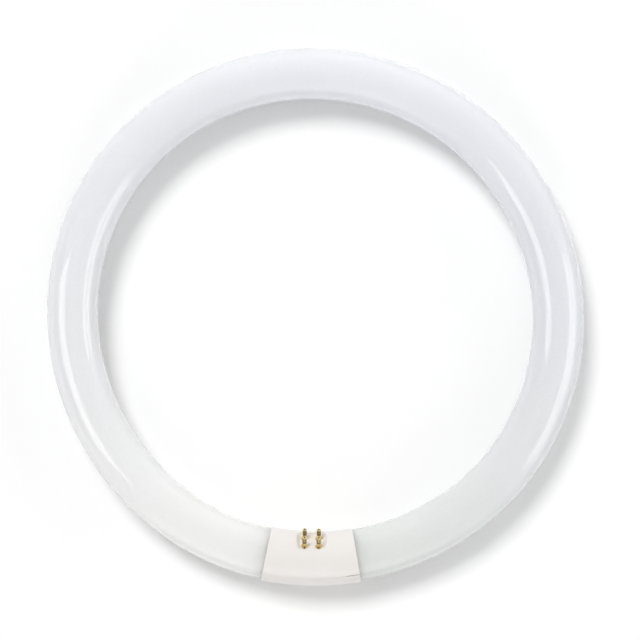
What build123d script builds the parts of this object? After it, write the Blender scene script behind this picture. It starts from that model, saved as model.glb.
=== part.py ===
from build123d import *
import math
import os

# Circular fluorescent tube lying flat, in mm: X runs along the tube at the cap, Y from the cap
# to the ring's centre, Z up from the surface it lies on. The origin is under the ring's centre.

# Ring of glass
ring_outer_dia = 304.8
tube_dia = 29.0
tube_gap = 23.0
shoulder_r = 6.0
exhaust_tip_dia = 4.4
exhaust_tip_len = 4.5

# Cap over the joint
cap_angle = 21.2
cap_wall = 0.7
cap_fit = 0.12
cap_edge_r = 0.35
lap_len = 1.0
lap_fit = 0.04
seam_relief = 0.12
rib_thick = 1.2
end_clear = 0.3
rib_reach = 5.6

# Pin pocket and contact pins, all leaning inward at 45 degrees
pin_tilt = 45.0
pin_columns = 7.92
pin_rows = 6.35
pocket_depth = 2.5
pocket_len = 12.8
pocket_width = 13.0
pocket_corner_r = 2.0
pocket_draft = 38.0
pad_thick = 1.6
pocket_wall = 1.2
pin_dia = 2.4
pin_len = 7.0
pin_tip_r = 0.3
pin_bore_dia = 0.9
pin_flange_dia = 3.9
pin_flange_thick = 0.5
shank_dia = 2.0
shank_fit = 0.03
collar_dia = 3.2
collar_thick = 0.6

# Lead wires from the sealed tube ends to the pins
lead_dia = 0.5
lead_bend_share = 0.6
lead_stop = 2.0

# Snap arms and the slot in the seam
arm_width = 5.0
arm_thick = 1.0
arm_clear = 0.15
arm_root = 6.0
barb_reach = 0.9
barb_height = 1.2
ledge_thick = 1.1
ledge_start = 1.3
slot_height = 0.8
slot_drop = 0.5
slot_len = 7.0

tube_r = tube_dia / 2
ring_r = ring_outer_dia / 2 - tube_r
bore_r = tube_r + cap_fit
cap_r = bore_r + cap_wall
axis_z = cap_r
lip_thick = (cap_wall - lap_fit) / 2
lip_r = bore_r + lip_thick
rebate_r = lip_r + lap_fit
pad_level = cap_r - pocket_depth
rib_outer = tube_gap / 2 - end_clear - tube_r * shoulder_r / ring_r
rib_inner = rib_outer - rib_thick
arm_outer = bore_r - 2.0
hook_level = ledge_start + ledge_thick
reach = 2 * cap_r

# Directions at the middle of the cap: the pins point along pin_dir
cap_centre = Vector(0, -ring_r, axis_z)
pin_dir = Vector(0, math.cos(math.radians(pin_tilt)), math.sin(math.radians(pin_tilt)))
pin_plane = Plane(origin=cap_centre, x_dir=(1, 0, 0), z_dir=pin_dir)


def arc_degrees(length):
    """Angle about the ring's centre that spans a length along the tube's centreline."""
    return math.degrees(length / ring_r)


def along_ring(section, start, end):
    """Sweeps a section round the ring between two lengths from the middle of the cap.

    The section is drawn with Y along the pins' lean and X along the seam."""
    turned = Rot(0, 0, 90 - pin_tilt) * section
    placed = Plane.XZ * Pos(ring_r, axis_z) * turned
    swept = revolve(placed, Axis.Z, arc_degrees(end - start))
    return Rot(0, 0, -90 + arc_degrees(start)) * swept


def half_plane(side, level=0.0):
    """Half of the section's plane, on the pins' side (+1) or the back (-1) of a level."""
    return Pos(0, level + side * reach) * Rectangle(2 * reach, 2 * reach)


def band(low, high):
    """Strip of the section's plane between two levels along the pins' lean."""
    return Pos(0, (low + high) / 2) * Rectangle(2 * reach, high - low)


def ring_section(inner, outer):
    """Flat ring between two radii."""
    return Circle(outer) - Circle(inner)


def local_box(x_size, y_low, y_high, z_low, z_high):
    """Box in the pins' frame, X along the tube and Z along the pins."""
    box = Box(x_size, y_high - y_low, z_high - z_low)
    return pin_plane * Pos(0, (y_low + y_high) / 2, (z_low + z_high) / 2) * box


def end_plane(length, heading):
    """Plane square to the tube at a length from the middle of the cap, facing along it (+1) or back (-1)."""
    turn = math.radians(-90 + arc_degrees(length))
    place = (ring_r * math.cos(turn), ring_r * math.sin(turn), axis_z)
    facing = (-heading * math.sin(turn), heading * math.cos(turn), 0)
    return Plane(origin=place, x_dir=(0, 0, 1), z_dir=facing)


cap_half = math.radians(cap_angle / 2) * ring_r

# Glass tube: a ring that stops short of closing, each end drawn in to a round shoulder and a
# flat, with the sealed tip of the exhaust tube standing on it. Leads enter through the flats.
shoulder_start = tube_gap / 2 + shoulder_r
sweep_len = 2 * math.pi * ring_r - 2 * shoulder_start
glass = along_ring(Circle(tube_r), shoulder_start, shoulder_start + sweep_len)
flat_r = tube_r - shoulder_r
tip_r = exhaust_tip_dia / 2
with BuildSketch(Plane.XZ) as end_profile:
    with BuildLine():
        Polyline((0, 0), (tube_r, 0))
        RadiusArc((tube_r, 0), (flat_r, shoulder_r), -shoulder_r)
        Polyline((flat_r, shoulder_r), (tip_r, shoulder_r), (tip_r, shoulder_r + exhaust_tip_len - tip_r))
        RadiusArc((tip_r, shoulder_r + exhaust_tip_len - tip_r), (0, shoulder_r + exhaust_tip_len), -tip_r)
        Line((0, shoulder_r + exhaust_tip_len), (0, 0))
    make_face()
tube_end = revolve(end_profile.sketch, Axis.Z, 360)
for side in (-1, 1):
    glass += end_plane(side * shoulder_start, -side) * tube_end

# Outer form of the cap: a curved sleeve, its two end edges rounded. Both halves are made
# oversize and trimmed to it.
sleeve_straight = cap_half - cap_edge_r
sleeve = along_ring(Circle(cap_r), -sleeve_straight, sleeve_straight)
with BuildSketch(Plane.XZ) as rim_profile:
    with BuildLine():
        Polyline((0, 0), (cap_r, 0))
        RadiusArc((cap_r, 0), (cap_r - cap_edge_r, cap_edge_r), -cap_edge_r)
        Polyline((cap_r - cap_edge_r, cap_edge_r), (0, cap_edge_r), (0, 0))
    make_face()
rim = revolve(rim_profile.sketch, Axis.Z, 360)
for side in (-1, 1):
    sleeve += end_plane(side * sleeve_straight, side) * rim
oversize_r = cap_r + 1
groove_r = cap_r - seam_relief

# Half that carries the pins: its seam edge is rebated inside, to go over the other half's lip
front_wall = ring_section(bore_r, oversize_r) & half_plane(1)
front_wall -= ring_section(bore_r - 1, rebate_r) & band(-1, lap_len + lap_fit)
front_wall -= ring_section(groove_r, oversize_r + 1) & band(-1, seam_relief)
pin_shell = along_ring(front_wall, -cap_half - 1, cap_half + 1)
front_rib = ring_section(bore_r - rib_reach, cap_r - cap_wall / 2) & half_plane(1, lap_len + lap_fit)
for start in (-rib_outer, rib_inner):
    pin_shell += along_ring(front_rib, start, start + rib_thick)

# Pocket for the pins: a block with a drafted recess whose floor the pins are riveted through
pad_half = pocket_width / 2 + pocket_wall
block = local_box(3 * rib_outer, -pad_half, pad_half, pad_level - pad_thick, cap_r)
pin_shell += block & along_ring(Circle(cap_r - cap_wall / 2), -rib_outer, rib_outer)
recess = RectangleRounded(pocket_len, pocket_width, pocket_corner_r)
pin_shell -= pin_plane * Pos(0, 0, pad_level) * extrude(recess, 2 * pocket_depth, taper=-pocket_draft)

# Ledges the snap arms hook over, one beside each seam
ledge_inner = arm_outer + arm_clear
for side in (-1, 1):
    low, high = sorted((side * ledge_inner, side * (bore_r + cap_wall / 4)))
    pin_shell += local_box(arm_width + 2, low, high, ledge_start, hook_level)
pin_shell = pin_shell & sleeve

# Back half: a plain shell with the lip, the stop ribs and the two snap arms
back_wall = ring_section(bore_r, oversize_r) & half_plane(-1)
back_wall -= ring_section(groove_r, oversize_r + 1) & band(-seam_relief, 1)
back_wall += ring_section(bore_r, lip_r) & band(-lap_len, lap_len)
back_shell = along_ring(back_wall, -cap_half - 1, cap_half + 1)
back_rib = ring_section(bore_r - rib_reach, cap_r - cap_wall / 2) & half_plane(-1, -lap_fit)
for start in (-rib_outer, rib_inner):
    back_shell += along_ring(back_rib, start, start + rib_thick)
arm_inner = arm_outer - arm_thick
barb_level = hook_level + 0.1
barb_top = barb_level + barb_height
with BuildSketch(Plane.YZ) as arm_profile:
    with BuildLine():
        Polyline(
            (arm_inner, -arm_root - 2),
            (bore_r, -arm_root - 2),
            (bore_r, -arm_root),
            (arm_outer, -arm_root),
            (arm_outer, barb_level),
            (arm_outer + barb_reach, barb_level),
            (arm_outer, barb_top),
            (arm_inner, barb_top),
            (arm_inner, -arm_root - 2),
        )
    make_face()
arm = extrude(arm_profile.sketch, arm_width / 2, both=True)
for turn in (0, 180):
    back_shell += pin_plane * Rot(0, 0, turn) * arm
back_shell = back_shell & sleeve

# Slot through both halves at one end of the visible seam, where they are prised apart
slot = ring_section(bore_r - 1, oversize_r) & band(-slot_drop, slot_height - slot_drop)
slot = slot & Pos(reach, 0) * Rectangle(2 * reach, 2 * reach)
slot_cut = along_ring(slot, cap_half - slot_len, cap_half + 1)
pin_shell -= slot_cut
back_shell -= slot_cut

# Contact pin: a hollow turned rivet with a flange outside the pad and a rolled collar inside
pin_r = pin_dia / 2
flange_r = pin_flange_dia / 2
shank_r = shank_dia / 2
collar_r = collar_dia / 2
hole_r = pin_bore_dia / 2
with BuildSketch(Plane.XZ) as pin_profile:
    with BuildLine():
        Polyline(
            (hole_r, pin_len),
            (hole_r, -pad_thick - collar_thick),
            (collar_r - 0.2, -pad_thick - collar_thick),
            (collar_r, -pad_thick - collar_thick + 0.2),
            (collar_r, -pad_thick),
            (shank_r, -pad_thick),
            (shank_r, 0),
            (flange_r, 0),
            (flange_r, pin_flange_thick - 0.1),
            (flange_r - 0.1, pin_flange_thick),
            (pin_r, pin_flange_thick),
            (pin_r, pin_len - pin_tip_r),
        )
        RadiusArc((pin_r, pin_len - pin_tip_r), (pin_r - pin_tip_r, pin_len), -pin_tip_r)
        Line((pin_r - pin_tip_r, pin_len), (hole_r, pin_len))
    make_face()
pin = revolve(pin_profile.sketch, Axis.Z, 360)

# Lead wire, in the plane of its pin: straight out of the glass, one bend, then up the bore
lead_start = tube_gap / 2 + 1
bend_r = lead_bend_share * (tube_gap - pin_columns) / 2
lead_top = pad_level + pin_len - lead_stop
places = [(column, row) for column in (-1, 1) for row in (-1, 1)]
pins = []
leads = []
for column, row in places:
    x_mid = column * pin_columns / 2
    y_mid = row * pin_rows / 2
    pins.append(pin_plane * Pos(x_mid, y_mid, pad_level) * pin)
    pin_hole = Cylinder(shank_r + shank_fit, 3 * pad_thick)
    pin_shell -= pin_plane * Pos(x_mid, y_mid, pad_level - pad_thick / 2) * pin_hole
    with BuildLine(Plane.XZ) as route:
        Line((column * lead_start, 0), (x_mid + column * bend_r, 0))
        RadiusArc((x_mid + column * bend_r, 0), (x_mid, bend_r), column * bend_r)
        Line((x_mid, bend_r), (x_mid, lead_top))
    wire_face = Plane(origin=(column * lead_start, 0, 0), z_dir=(1, 0, 0)) * Circle(lead_dia / 2)
    lead = sweep(wire_face, path=route.line)
    leads.append(pin_plane * Pos(0, y_mid, 0) * lead - glass)

nodes = {"glass_tube": glass, "pin_shell": pin_shell, "back_shell": back_shell}
for number, pin_piece in enumerate(pins, start=1):
    nodes["contact_pin_" + str(number)] = pin_piece
for number, lead_piece in enumerate(leads, start=1):
    nodes["lead_wire_" + str(number)] = lead_piece

os.makedirs("parts", exist_ok=True)
for name, shape in nodes.items():
    solids = shape.solids()
    print(name, len(solids), round(sum(s.volume for s in solids), 2))
    export_step(shape, "parts/" + name + ".step")
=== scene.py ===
# %% [markdown]
# # A circular fluorescent tube on a white table
# The lamp is a glass tube bent to a ring and coated white inside. Its two ends meet in a white
# plastic cap, from which four hollow brass pins lean towards the middle of the ring. The packed
# model gives every piece its place, so the first cell loads it and keeps its size.

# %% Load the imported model
import math
import bmesh
import bpy
import numpy as np
from mathutils import Matrix, Vector


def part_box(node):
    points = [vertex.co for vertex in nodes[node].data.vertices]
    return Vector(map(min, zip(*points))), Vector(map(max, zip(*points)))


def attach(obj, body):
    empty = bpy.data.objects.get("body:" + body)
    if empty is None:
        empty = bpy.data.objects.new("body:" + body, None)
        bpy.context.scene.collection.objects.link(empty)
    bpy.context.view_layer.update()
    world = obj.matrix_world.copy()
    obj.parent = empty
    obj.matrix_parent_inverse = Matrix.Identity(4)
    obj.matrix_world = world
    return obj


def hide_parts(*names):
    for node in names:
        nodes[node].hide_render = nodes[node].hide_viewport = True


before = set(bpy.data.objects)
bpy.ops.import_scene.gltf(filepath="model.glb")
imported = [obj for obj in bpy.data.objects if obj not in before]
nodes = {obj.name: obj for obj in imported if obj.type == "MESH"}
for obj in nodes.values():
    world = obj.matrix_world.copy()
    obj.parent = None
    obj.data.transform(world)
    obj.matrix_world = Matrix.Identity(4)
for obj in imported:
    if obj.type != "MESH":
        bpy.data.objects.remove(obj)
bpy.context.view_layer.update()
print("nodes:", ", ".join(sorted(nodes)))

# %% [markdown]
# ## Sizes
# All sizes are in metres. The tube's and the ring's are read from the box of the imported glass, so
# the new surface can't drift from it. The box doesn't show how the tube ends inside the cap, so the
# gap between its ends and the radius of their shoulders are written down.

# %% Sizes that the surfaces share
glass_low, glass_high = (np.array(corner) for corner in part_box("glass_tube"))
tube_radius = (glass_high[2] - glass_low[2]) / 2
ring_radius = (glass_high[0] - glass_low[0]) / 2 - tube_radius
axis_height = (glass_high[2] + glass_low[2]) / 2
joint_gap = 0.023
shoulder_radius = 0.006
print(f"tube {tube_radius * 2000:.2f} mm, centreline radius {ring_radius * 1000:.2f} mm, "
      f"axis {axis_height * 1000:.2f} mm up")

# %% [markdown]
# ## The camera
# The photograph looks nearly straight down, a little from the cap's side. A camera could be placed
# by eye, but the ring's outline and the lean of the pins fix it better: a long lens 1.5 m up,
# tipped by four degrees and turned by one, so that the cap sits slightly left of the middle.

# %% Camera
image_side = 640
focal_pixels = 2622.3
camera_place = Vector((0.00643, -0.10854, 1.5))
tip = Matrix.Rotation(0.07095, 4, "X")
lean = Matrix.Rotation(0.00139, 4, "Y")
turn = Matrix.Rotation(0.01583, 4, "Z")
lens = bpy.data.cameras.new("long_lens")
lens.sensor_width = 36.0
lens.lens = focal_pixels / image_side * lens.sensor_width
lens.clip_end = 100.0
camera = bpy.data.objects.new("camera", lens)
bpy.context.scene.collection.objects.link(camera)
camera.matrix_world = Matrix.Translation(camera_place) @ turn @ lean @ tip
bpy.context.scene.camera = camera
print(f"lens {lens.lens:.1f} mm")

# %% [markdown]
# ## The room
# The camera sees a plain white room, and so would clear glass. Glossy surfaces see more of it: it
# is dark above and at the left, and pale at the right, behind and in front. One even white dome
# would be simpler, but it lays a pale veil over the whole tube and hides its long reflections. The
# room gives no light of its own to matte surfaces: that is left to the lamps.

# %% Node helpers
def add_node(tree, kind, inputs=None, **settings):
    """Adds a shader node, sets its properties and the values of its named or numbered sockets."""
    node = tree.nodes.new(kind)
    for name, value in settings.items():
        setattr(node, name, value)
    for key, value in (inputs or {}).items():
        node.inputs[key].default_value = value
    return node


def wire(tree, *pairs):
    """Links pairs of (output socket, input socket)."""
    for out_socket, in_socket in pairs:
        tree.links.new(out_socket, in_socket)


def rays(tree, *kinds):
    """1 for the named kinds of ray, Camera, Glossy or Transmission, and 0 for the others."""
    path = add_node(tree, "ShaderNodeLightPath")
    found = path.outputs[f"Is {kinds[0]} Ray"]
    for kind in kinds[1:]:
        either = add_node(tree, "ShaderNodeMath", operation="MAXIMUM")
        wire(tree, (found, either.inputs[0]), (path.outputs[f"Is {kind} Ray"], either.inputs[1]))
        found = either.outputs[0]
    return found


print("node helpers: add_node, wire, rays")


# %% Room
def glow_towards(tree, toward, side, strength, rest):
    """Glow of the room in a direction: rest + strength * cosine of the angle to one side, cubed,
    where the cosine is above 0. The first side has no rest."""
    facing = add_node(tree, "ShaderNodeVectorMath", {1: side}, operation="DOT_PRODUCT")
    ahead = add_node(tree, "ShaderNodeMath", {1: 0.0}, operation="MAXIMUM")
    cubed = add_node(tree, "ShaderNodeMath", {1: 3.0}, operation="POWER")
    total = add_node(tree, "ShaderNodeMath", {1: strength, 2: 0.0}, operation="MULTIPLY_ADD")
    wire(tree, (toward, facing.inputs[0]), (facing.outputs["Value"], ahead.inputs[0]),
         (ahead.outputs[0], cubed.inputs[0]), (cubed.outputs[0], total.inputs[0]))
    if rest is not None:
        wire(tree, (rest, total.inputs[2]))
    return total.outputs[0]


pure_white = (1.0, 1.0, 1.0, 1.0)
side_glow = {(1.0, 0.0, 0.0): 2.4, (0.0, 1.0, 0.0): 1.3, (0.0, -1.0, 0.0): 2.7}
room = bpy.data.worlds.new("white_room")
bpy.context.scene.world = room
room.use_nodes = True
tree = room.node_tree
tree.nodes.clear()
toward = add_node(tree, "ShaderNodeTexCoord").outputs["Generated"]
glow = None
for side, strength in side_glow.items():
    glow = glow_towards(tree, toward, side, strength, glow)
in_gloss = add_node(tree, "ShaderNodeMath", operation="MULTIPLY")
walls = add_node(tree, "ShaderNodeBackground", {"Color": pure_white})
white = add_node(tree, "ShaderNodeBackground", {"Color": pure_white, "Strength": 1.0})
choose = add_node(tree, "ShaderNodeMixShader")
out = add_node(tree, "ShaderNodeOutputWorld")
wire(tree, (glow, in_gloss.inputs[0]), (rays(tree, "Glossy"), in_gloss.inputs[1]),
     (in_gloss.outputs[0], walls.inputs["Strength"]),
     (rays(tree, "Camera", "Transmission"), choose.inputs[0]),
     (walls.outputs[0], choose.inputs[1]), (white.outputs[0], choose.inputs[2]),
     (choose.outputs[0], out.inputs[0]))
print("room: white to the camera, pale in the gloss towards", list(side_glow))

# %% [markdown]
# ## The table
# The lamp lies on a white table that the photograph shows as pure white but for the soft shadow
# beside the tube. Stronger lamps would whiten it, and would burn out the tube as well. So the paper
# keeps its shade and gets a little light of its own, which only the camera and reflections see.

# %% Table
table_size = 6.0
corner = table_size / 2
paper_white, paper_lift = 0.93, 0.066
table_mesh = bpy.data.meshes.new("table")
table_mesh.from_pydata(
    [(-corner, -corner, 0), (corner, -corner, 0), (corner, corner, 0), (-corner, corner, 0)],
    [], [(0, 1, 2, 3)])
table = bpy.data.objects.new("table", table_mesh)
bpy.context.scene.collection.objects.link(table)
paper = bpy.data.materials.new("white_paper")
paper.use_nodes = True
tree = paper.node_tree
tree.nodes.clear()
matte = add_node(tree, "ShaderNodeBsdfDiffuse", {"Color": (*[paper_white] * 3, 1.0)})
lift = add_node(tree, "ShaderNodeEmission", {"Color": pure_white, "Strength": paper_lift})
none = add_node(tree, "ShaderNodeEmission", {"Strength": 0.0})
only_seen = add_node(tree, "ShaderNodeMixShader")
both = add_node(tree, "ShaderNodeAddShader")
out = add_node(tree, "ShaderNodeOutputMaterial")
wire(tree, (rays(tree, "Camera", "Glossy", "Transmission"), only_seen.inputs[0]),
     (none.outputs[0], only_seen.inputs[1]), (lift.outputs[0], only_seen.inputs[2]),
     (matte.outputs[0], both.inputs[0]), (only_seen.outputs[0], both.inputs[1]),
     (both.outputs[0], out.inputs[0]))
table_mesh.materials.append(paper)
print(f"table: {table_size:.0f} m square")

# %% [markdown]
# ## The lamps
# The shadow lies down and to the right of the tube, so the strongest lamp is a soft disc high at
# the upper left. A ring of broader and weaker ones stands for the walls, and three low ones at the
# right, behind and in front reach under the tube, which makes the glass look evenly lit from edge
# to edge. One large area lamp could give the same shadow, but not that even light. The long thin
# reflections along the glass come from three panels that show in nothing but the gloss, so each
# can be set by its reflection without a second shadow.


# %% Lamp makers
def direction(azimuth, zenith):
    """Unit vector at an angle from +X about Z, and an angle down from straight up, in degrees."""
    a, z = math.radians(azimuth), math.radians(zenith)
    return Vector((math.sin(z) * math.cos(a), math.sin(z) * math.sin(a), math.cos(z)))


def disc(name, azimuth, zenith, strength, breadth):
    """Far round lamp, breadth degrees across, that shades the pieces but isn't seen in their gloss.
    A white surface square to a lamp of strength 3.14 renders white."""
    light = bpy.data.lights.new(name, "SUN")
    light.energy, light.angle = strength, math.radians(breadth)
    holder = bpy.data.objects.new(name, light)
    bpy.context.scene.collection.objects.link(holder)
    facing = direction(azimuth, zenith).to_track_quat("Z", "Y")
    holder.matrix_world = facing.to_matrix().to_4x4()
    holder.visible_glossy = False


def panel(name, azimuth, zenith, distance, width, height, glow):
    """Rectangular panel that faces the lamp and shows in the gloss alone; glow is how bright its
    face is, 1 being white."""
    light = bpy.data.lights.new(name, "AREA")
    light.shape = "RECTANGLE"
    light.size, light.size_y = width, height
    light.energy = glow * math.pi * width * height
    place = direction(azimuth, zenith) * distance
    facing = place.to_track_quat("Z", "Y")
    holder = bpy.data.objects.new(name, light)
    bpy.context.scene.collection.objects.link(holder)
    holder.matrix_world = Matrix.Translation(place) @ facing.to_matrix().to_4x4()
    holder.visible_diffuse = False
    holder.visible_camera = False


print("lamp makers: disc, panel")

# %% Lamps
broad = 40
wall_zenith, low_zenith = 50, 76
wall_strength = {0: 0.17, 45: 0.14, 90: 0.14, 180: 0.4, 225: 0.28, 270: 0.26, 315: 0.14}
disc("key", 124, 36, 1.86, 25)
disc("roof_right", 45, 22, 0.25, broad)
for azimuth, strength in wall_strength.items():
    disc(f"wall_{azimuth}", azimuth, wall_zenith, strength, broad)
disc("low_right", 0, low_zenith, 0.52, broad)
disc("low_back", 45, low_zenith, 0.6, broad)
disc("low_front", 270, low_zenith, 0.95, broad)
panel("left_panel", 189.6, 46, 2.5, 1.6, 1.2, 3.3)
panel("right_panel", -6, 54, 2.5, 1.9, 0.5, 3.2)
panel("near_panel", -6, 72, 0.83, 0.71, 0.26, 1.9)

# %% [markdown]
# ## The glass ring
# A torus primitive would close on itself, but the real tube stops short at the cap and each end is
# drawn in to a shoulder. So the tube is a circle carried along a path, and the circle's radius and
# place along the path are arrays: round the ring, over the shoulder, in along the flat end and out
# over the sealed tip. The tube was bent round a former while it was hot, and it is a millimetre out
# of round along one diagonal, which fades out towards the cap.


# %% Centreline of the ring
out_of_round = 0.00115
fade_start, fade_length = 0.09, 0.2
straight_start = joint_gap / 2 + shoulder_radius
ring_half = math.pi - straight_start / ring_radius
to_axis = np.array([0, 0, axis_height])


def ring_centreline(t):
    """Centre and outward direction of the tube at an angle t from the far side of the ring:
    radius R - e sin(2a) w, where a is the angle from +X and w falls to 0 at the cap."""
    a = t + math.pi / 2
    from_cap = np.clip((math.pi - np.abs(t)) / ring_half, 0, 1)
    fade = np.clip((from_cap - fade_start) / fade_length, 0, 1)
    fade = fade * fade * (3 - 2 * fade)
    radius = ring_radius - out_of_round * np.sin(2 * a) * fade
    outward = np.stack([np.cos(a), np.sin(a), np.zeros_like(a)], -1)
    return radius[:, None] * outward + to_axis, outward


print(f"the bend turns through {math.degrees(2 * ring_half):.1f} degrees")

# %% Ends of the tube
flat_radius = tube_radius - shoulder_radius
tip_radius, tip_length = 0.0022, 0.0045
tip_flare, flare_length = 1.4, 0.0003


def end_profile(steps=7):
    """Profile past the end of the bend: distance on along the tube, and radius. A quarter circle
    over the shoulder, the flat, the stem of the sealed tip and a quarter circle over its end."""
    q = np.linspace(0, math.pi / 2, steps)[1:]
    over = np.stack([shoulder_radius * np.sin(q), flat_radius + shoulder_radius * np.cos(q)], -1)
    stem_end = shoulder_radius + tip_length - tip_radius
    stem = np.array([[shoulder_radius, tip_radius * tip_flare],
                     [shoulder_radius + flare_length, tip_radius],
                     [stem_end, tip_radius]])
    nose = np.stack([stem_end + tip_radius * np.sin(q), tip_radius * np.cos(q)], -1)[:-1]
    return np.vstack([over, stem, nose])


def tube_end(side):
    """Centres, outward directions and radii of the rows past one end of the bend, which go
    straight on: (R cos a, R sin a, h) + distance * heading."""
    angle = side * ring_half + math.pi / 2
    outward = np.array([math.cos(angle), math.sin(angle), 0])
    heading = side * np.array([-math.sin(angle), math.cos(angle), 0])
    profile = end_profile()
    centres = ring_radius * outward + to_axis + profile[:, :1] * heading
    return centres, np.tile(outward, (len(profile), 1)), profile[:, 1]


print("each end of the tube:", len(end_profile()), "rows")


# %% Surface helper
def surface(name, points):
    """Smooth mesh from a grid of points (rows, columns, 3), joined around its columns, its first
    and last rows each closed by one point in their middle. Its faces point outwards where the
    columns run anticlockwise, seen along the way that the rows go."""
    rows, columns, _ = points.shape
    middles = points[[0, -1]].mean(axis=1)
    vertices = np.vstack([points.reshape(-1, 3), middles])
    column = np.arange(columns)
    after = (column + 1) % columns
    row = np.arange(rows - 1)[:, None] * columns
    quads = np.stack([row + column, row + columns + column, row + columns + after, row + after], -1)
    last_row = (rows - 1) * columns
    first = np.stack([np.full(columns, rows * columns), column, after], -1)
    last = np.stack([np.full(columns, rows * columns + 1), last_row + after, last_row + column], -1)
    loops = np.concatenate([quads.ravel(), first.ravel(), last.ravel()])
    totals = np.concatenate([np.full((rows - 1) * columns, 4), np.full(2 * columns, 3)])
    starts = np.concatenate([[0], np.cumsum(totals)[:-1]])
    mesh = bpy.data.meshes.new(name)
    mesh.vertices.add(len(vertices))
    mesh.vertices.foreach_set("co", vertices.ravel())
    mesh.loops.add(len(loops))
    mesh.loops.foreach_set("vertex_index", loops.astype(np.int32))
    mesh.polygons.add(len(totals))
    mesh.polygons.foreach_set("loop_start", starts.astype(np.int32))
    mesh.update(calc_edges=True)
    mesh.polygons.foreach_set("use_smooth", np.ones(len(totals), bool))
    mesh.validate()
    piece = bpy.data.objects.new(name, mesh)
    bpy.context.scene.collection.objects.link(piece)
    return piece


print("surface helper: surface")

# %% Glass ring
steps_along, steps_around = 560, 96
around = np.linspace(0, 2 * math.pi, steps_around, endpoint=False)[None, :, None]
t = np.linspace(-ring_half, ring_half, steps_along)
bend = (*ring_centreline(t), np.full(steps_along, tube_radius))
centres, outward, radii = (
    np.concatenate([before[::-1], middle, after])
    for before, middle, after in zip(tube_end(-1), bend, tube_end(1)))
up = np.array([0, 0, 1.0])
points = centres[:, None] + radii[:, None, None] * (
    np.cos(around) * outward[:, None] + np.sin(around) * up)
glass_ring = surface("glass_ring", points)
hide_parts("glass_tube")
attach(glass_ring, "root")
form = bmesh.new()
form.from_mesh(glass_ring.data)
print(f"glass ring: {len(form.faces)} faces, {form.calc_volume(signed=True) * 1e6:.0f} cubic "
      "centimetres, which is above 0 because the faces point outwards")
form.free()

# %% [markdown]
# ## Patterns for the finishes
# Every finish is one Principled shader whose colour, roughness and bump come from noise, ramps and
# distances on the object's own coordinates. Painted textures could do the same, but these stay
# sharp at any distance and need no picture. A few helpers keep each finish short.


# %% Pattern helpers
def material(name):
    """New node material, with its tree, its shader and its object coordinates."""
    finish = bpy.data.materials.new(name)
    finish.use_nodes = True
    tree = finish.node_tree
    shader = tree.nodes["Principled BSDF"]
    place = add_node(tree, "ShaderNodeTexCoord").outputs["Object"]
    return finish, tree, shader, place


def noise(tree, place, scale, detail, stretch=(1, 1, 1)):
    """Noise pattern on the object's coordinates, scale being features to a metre."""
    mapping = add_node(tree, "ShaderNodeMapping", {"Scale": stretch})
    pattern = add_node(tree, "ShaderNodeTexNoise", {"Scale": scale, "Detail": detail})
    wire(tree, (place, mapping.inputs["Vector"]), (mapping.outputs[0], pattern.inputs["Vector"]))
    return pattern.outputs["Fac"]


def ramp(tree, fac, low, high, start=0.35, end=0.65, between=()):
    """Colour that goes from low to high as fac goes from start to end, by way of the (position,
    colour) pairs in between. Noise seldom leaves 0.35 to 0.65."""
    node = add_node(tree, "ShaderNodeValToRGB")
    stops = node.color_ramp.elements
    stops[0].position, stops[0].color = start, (*low, 1)
    stops[1].position, stops[1].color = end, (*high, 1)
    for position, tone in between:
        stops.new(position).color = (*tone, 1)
    wire(tree, (fac, node.inputs["Fac"]))
    return node.outputs["Color"]


def spread(tree, fac, low, high, start=0.35, end=0.65):
    """Number that goes from low to high as fac goes from start to end."""
    node = add_node(tree, "ShaderNodeMapRange",
                    {"From Min": start, "From Max": end, "To Min": low, "To Max": high})
    wire(tree, (fac, node.inputs["Value"]))
    return node.outputs["Result"]


def mix_colours(tree, kind, fac, first, second):
    """Mixes two colours by a blend kind; fac, first and second are sockets or values."""
    node = add_node(tree, "ShaderNodeMix", data_type="RGBA", blend_type=kind)
    for key, value in ((0, fac), (6, first), (7, second)):
        if isinstance(value, bpy.types.NodeSocket):
            wire(tree, (value, node.inputs[key]))
        else:
            node.inputs[key].default_value = value
    return node.outputs[2]


def bump(tree, height, depth, under=None):
    """Bump of a height pattern; depth is how deep it is in metres, under a bump below it."""
    node = add_node(tree, "ShaderNodeBump", {"Strength": 1.0, "Distance": depth})
    wire(tree, (height, node.inputs["Height"]))
    if under is not None:
        wire(tree, (under, node.inputs["Normal"]))
    return node.outputs["Normal"]


print("pattern helpers: material, noise, ramp, spread, mix_colours, bump")

# %% [markdown]
# ## The finish of the glass
# Clear glass over a white powder coat. A clear shell over a second white surface could show both,
# but the wall is under a millimetre thick, so one white body with a smooth clear skin looks the
# same. The coat is lighter and whiter at one end of the ring than at the other, both ends are a
# shade warmer, and it is a little bluer between them. The share of the way round the ring gives
# this colour, by a ramp. Noise makes the coat a little cloudy and grainy, and gives the skin faint
# waves from the bending and a few dull patches. Subsurface scattering spreads the light through
# the coat.

# %% Coat along the tube
coated_glass, tree, shader, place = material("coated_glass")
along = add_node(tree, "ShaderNodeSeparateXYZ")
turned = add_node(tree, "ShaderNodeMath", operation="ARCTAN2")
wire(tree, (place, along.inputs[0]), (along.outputs["X"], turned.inputs[0]),
     (along.outputs["Y"], turned.inputs[1]))
way_round = spread(tree, turned.outputs[0], 0.0, 1.0, -math.pi, math.pi)
# Lighter and whiter at one end of the ring, darker at the other, warmer at both ends.
lighter_end_tone, darker_end_tone = (0.866, 0.873, 0.845), (0.753, 0.766, 0.743)
quarters = ((0.25, (0.808, 0.812, 0.831)), (0.5, (0.805, 0.82, 0.857)),
            (0.75, (0.758, 0.767, 0.796)))
coat = ramp(tree, way_round, lighter_end_tone, darker_end_tone, 0.0, 1.0, quarters)
print("coat, from its thick end to its thin end:", lighter_end_tone, *(tone for _, tone in quarters),
      darker_end_tone)

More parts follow.
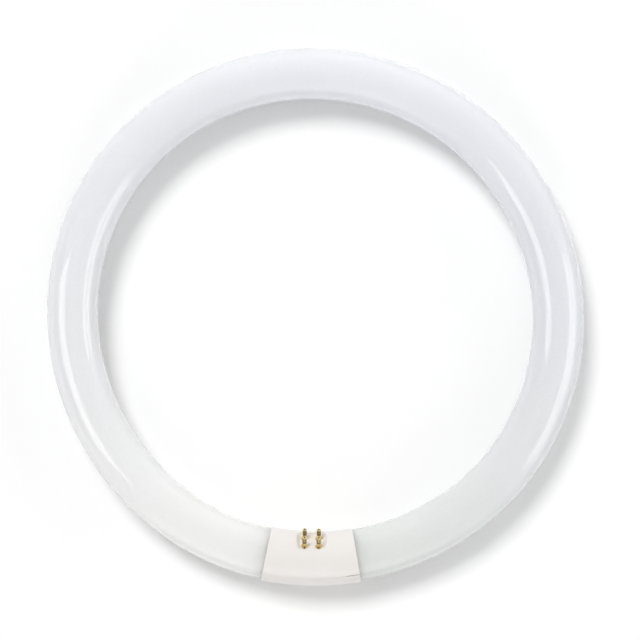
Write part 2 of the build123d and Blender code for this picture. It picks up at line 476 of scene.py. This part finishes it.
# %% Coated glass
unmarked = (1.0, 1.0, 1.0)
cloud = ramp(tree, noise(tree, place, 9.0, 2.0), (0.985, 0.985, 0.985), (1.015, 1.015, 1.015))
grain = ramp(tree, noise(tree, place, 1400.0, 4.0), (0.965, 0.965, 0.965), unmarked)
clouded = mix_colours(tree, "MULTIPLY", 1.0, coat, cloud)
colour = mix_colours(tree, "MULTIPLY", 1.0, clouded, grain)
dull_patches = spread(tree, noise(tree, place, 24.0, 5.0), 0.03, 0.07)
waves = bump(tree, noise(tree, place, 30.0, 1.0), 0.0004)
skin = bump(tree, noise(tree, place, 900.0, 2.0), 0.000004, under=waves)
wire(tree, (colour, shader.inputs["Base Color"]), (dull_patches, shader.inputs["Roughness"]),
     (skin, shader.inputs["Normal"]))
shader.inputs["IOR"].default_value = 1.5
shader.inputs["Subsurface Weight"].default_value = 1.0
shader.inputs["Subsurface Radius"].default_value = (1.0, 1.0, 1.0)
shader.inputs["Subsurface Scale"].default_value = 0.02
glass_ring.data.materials.append(coated_glass)
print("coated glass:", len(tree.nodes), "nodes on", glass_ring.name)

# %% [markdown]
# ## The cap
# Two moulded half sleeves in warm white plastic. New surfaces could be made for them, but the
# solids already have their form, so they keep it and get a finish: a soft sheen, a faint flow of
# the melt in the colour, and a fine mould grain. The end walls of the recess are painted whiter
# than the rest of the cap, a painted light that lifts the shade falling on them inside the recess.
# They lie nearer to the tube's centreline than the sleeve does and past the end of the recess's
# floor, so two distances tell them apart.


# %% End walls of the recess
recess_deep, recess_edge = 0.01445, 0.0149
floor_end, wall_start = 0.0060, 0.0068


def off_centreline(tree, place):
    """Distance from the tube's centreline: from (ring radius, axis height) to (distance from the
    Z axis, Z)."""
    flat = add_node(tree, "ShaderNodeVectorMath", {1: (1.0, 1.0, 0.0)}, operation="MULTIPLY")
    reach = add_node(tree, "ShaderNodeVectorMath", operation="LENGTH")
    height = add_node(tree, "ShaderNodeSeparateXYZ")
    section = add_node(tree, "ShaderNodeCombineXYZ")
    apart = add_node(tree, "ShaderNodeVectorMath", {1: (ring_radius, axis_height, 0.0)},
                     operation="DISTANCE")
    wire(tree, (place, flat.inputs[0]), (flat.outputs[0], reach.inputs[0]),
         (place, height.inputs[0]), (reach.outputs["Value"], section.inputs["X"]),
         (height.outputs["Z"], section.inputs["Y"]), (section.outputs[0], apart.inputs[0]))
    return apart.outputs["Value"]


def end_walls(tree, place):
    """1 on the end walls of the recess, where the distance from the centreline is small and that
    from the middle of the cap, |X|, is large, and 0 elsewhere."""
    along_cap = add_node(tree, "ShaderNodeSeparateXYZ")
    either_end = add_node(tree, "ShaderNodeMath", operation="ABSOLUTE")
    wall = add_node(tree, "ShaderNodeMath", operation="MULTIPLY")
    wire(tree, (place, along_cap.inputs[0]), (along_cap.outputs["X"], either_end.inputs[0]))
    inside = spread(tree, off_centreline(tree, place), 1.0, 0.0, recess_deep, recess_edge)
    past_floor = spread(tree, either_end.outputs[0], 0.0, 1.0, floor_end, wall_start)
    wire(tree, (inside, wall.inputs[0]), (past_floor, wall.inputs[1]))
    return wall.outputs[0]


print(f"end walls of the recess: under {recess_edge * 1000:.2f} mm from the centreline and over "
      f"{floor_end * 1000:.1f} mm from the middle of the cap")


# %% Cap plastic
def wear(node, finish):
    """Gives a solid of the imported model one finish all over."""
    node.data.materials.clear()
    node.data.materials.append(finish)


cap_plastic, tree, shader, place = material("cap_plastic")
melt_flow = noise(tree, place, 60.0, 3.0, (0.5, 1.5, 1.0))
flow = ramp(tree, melt_flow, (0.841, 0.814, 0.779), (0.861, 0.834, 0.804))
recess_walls_painted_light = (0.98, 0.955, 0.92, 1.0)
# Painted light: the end walls of the recess get a whiter colour that lifts their shade.
colour = mix_colours(tree, "MIX", end_walls(tree, place), flow, recess_walls_painted_light)
sheen = spread(tree, noise(tree, place, 120.0, 4.0), 0.3, 0.42)
mould_grain = bump(tree, noise(tree, place, 1500.0, 3.0), 0.00001)
wire(tree, (colour, shader.inputs["Base Color"]), (sheen, shader.inputs["Roughness"]),
     (mould_grain, shader.inputs["Normal"]))
shader.inputs["IOR"].default_value = 1.46
for name in ("pin_shell", "back_shell"):
    wear(nodes[name], cap_plastic)
print("cap plastic on pin_shell and back_shell")

# %% [markdown]
# ## The brass pins
# Four hollow turned pins, all leaning the same way. Their colour holds painted light in bands: a
# painted highlight on the rim of each tip, a painted dark reflection on the shaft below, a brown
# ring of painted shadow, and the brass's own gold on the foot down to the flange. Each pin could
# be painted by itself, but these bands lie at the same distances below every tip, so one ramp on
# the distance along the pins' lean colours all four.

# %% Brass along a pin
tip_from_axis, banded_length = 0.01982, 0.0075
pin_axis = Vector((0.0, 1.0, 1.0)).normalized()
cap_centre = Vector((0.0, -ring_radius, axis_height))
tip_level = pin_axis.dot(cap_centre) + tip_from_axis
pin_brass, tree, shader, place = material("pin_brass")
shader.inputs["Metallic"].default_value = 1.0
measured = add_node(tree, "ShaderNodeVectorMath", {1: pin_axis}, operation="DOT_PRODUCT")
wire(tree, (place, measured.inputs[0]))
below_tip = spread(tree, measured.outputs["Value"], 1.0, 0.0, tip_level - banded_length, tip_level)
# Painted light along each pin: a painted highlight at the tip, a painted dark reflection on the
# shaft and a brown ring of painted shadow.
tip_painted_highlight, shaft_painted_dark_reflection, lower_shaft_painted_dark_reflection = (0.9, 0.73, 0.38), (0.37, 0.295, 0.125), (0.42, 0.33, 0.13)
painted_shadow_ring, golden, flange = (0.24, 0.13, 0.045), (0.95, 0.76, 0.34), (0.85, 0.66, 0.4)
bands = ((0.02, tip_painted_highlight), (0.045, shaft_painted_dark_reflection), (0.3, lower_shaft_painted_dark_reflection), (0.45, painted_shadow_ring), (0.57, golden),
         (0.84, golden), (0.87, flange))
brass_with_painted_light = ramp(tree, below_tip, tip_painted_highlight, flange, 0.0, 1.0, bands)
print(f"brass: {len(bands)} bands over {banded_length * 1000:.1f} mm below each tip")

# %% [markdown]
# ## The bores
# Each pin is a tube, and its hole looks dark even in bright light. The solids have the holes, but
# they are under a millimetre wide and bright brass would light them, so the colour goes dark inside
# the bore's radius, measured from the pin's own axis: a painted shade. The four axes stand in a
# rectangle, so the distances from its middle, less half its sides and whatever their sign, fit
# every pin at once.

# %% Dark bores
row_axis = Vector((0.0, 1.0, -1.0)).normalized()
column_half, row_half = 0.00396, 0.003175
bore_radius, bore_edge = 0.00045, 0.0005
sideways = add_node(tree, "ShaderNodeSeparateXYZ")
crosswise = add_node(tree, "ShaderNodeVectorMath", {1: row_axis}, operation="DOT_PRODUCT")
wire(tree, (place, sideways.inputs[0]), (place, crosswise.inputs[0]))
offsets = add_node(tree, "ShaderNodeCombineXYZ")
columns_and_rows = ((sideways.outputs["X"], 0.0, column_half),
                    (crosswise.outputs["Value"], row_axis.dot(cap_centre), row_half))
for number, (value, middle_at, half) in enumerate(columns_and_rows):
    from_middle = add_node(tree, "ShaderNodeMath", {1: middle_at}, operation="SUBTRACT")
    either_side = add_node(tree, "ShaderNodeMath", operation="ABSOLUTE")
    from_pin = add_node(tree, "ShaderNodeMath", {1: half}, operation="SUBTRACT")
    wire(tree, (value, from_middle.inputs[0]), (from_middle.outputs[0], either_side.inputs[0]),
         (either_side.outputs[0], from_pin.inputs[0]),
         (from_pin.outputs[0], offsets.inputs[number]))
from_axis = add_node(tree, "ShaderNodeVectorMath", operation="LENGTH")
wire(tree, (offsets.outputs[0], from_axis.inputs[0]))
on_brass = spread(tree, from_axis.outputs["Value"], 0.0, 1.0, bore_radius, bore_edge)
# Painted shade: dark colour inside each bore stands for the shade in the hole.
bore_painted_shade = ramp(tree, on_brass, (0.05, 0.04, 0.03), unmarked, 0.0, 1.0)
print(f"bores: dark within {bore_radius * 1000:.2f} mm of each axis")

# %% [markdown]
# ## Tarnish
# Handled brass is never one colour. Fine noise takes the bands down in places, and finer noise
# still gives the marks of the tool. This is the last layer, so the finished brass goes on the pins.

# %% Tarnish on the pins
tarnish = ramp(tree, noise(tree, place, 900.0, 4.0), (0.6, 0.58, 0.5), unmarked)
marked = mix_colours(tree, "MULTIPLY", 1.0, brass_with_painted_light, tarnish)
colour = mix_colours(tree, "MULTIPLY", 1.0, marked, bore_painted_shade)
handled = spread(tree, noise(tree, place, 1600.0, 3.0), 0.2, 0.38)
tool_marks = bump(tree, noise(tree, place, 4000.0, 2.0), 0.00001)
wire(tree, (colour, shader.inputs["Base Color"]), (handled, shader.inputs["Roughness"]),
     (tool_marks, shader.inputs["Normal"]))
pins = [name for name in sorted(nodes) if name.startswith("contact_pin")]
for name in pins:
    wear(nodes[name], pin_brass)
print("turned brass on", ", ".join(pins))

# %% [markdown]
# ## The lead wires
# The wires from the glass to the pins are drawn metal, which comes off the die dull and a little
# uneven. They are hidden in the cap, so a plain metal with noise in its colour and gloss is enough.

# %% Lead wires
lead_metal, tree, shader, place = material("lead_metal")
shader.inputs["Metallic"].default_value = 1.0
drawn = ramp(tree, noise(tree, place, 1200.0, 3.0), (0.38, 0.36, 0.34), (0.55, 0.53, 0.5))
uneven = spread(tree, noise(tree, place, 2500.0, 3.0), 0.35, 0.5)
wire(tree, (drawn, shader.inputs["Base Color"]), (uneven, shader.inputs["Roughness"]))
leads = [name for name in sorted(nodes) if name.startswith("lead_wire")]
for name in leads:
    wear(nodes[name], lead_metal)
print("drawn wire on", ", ".join(leads))

# %% [markdown]
# Plain colour management, so that a colour renders as it is written.

# %% Colour management
bpy.context.scene.view_settings.view_transform = "Standard"
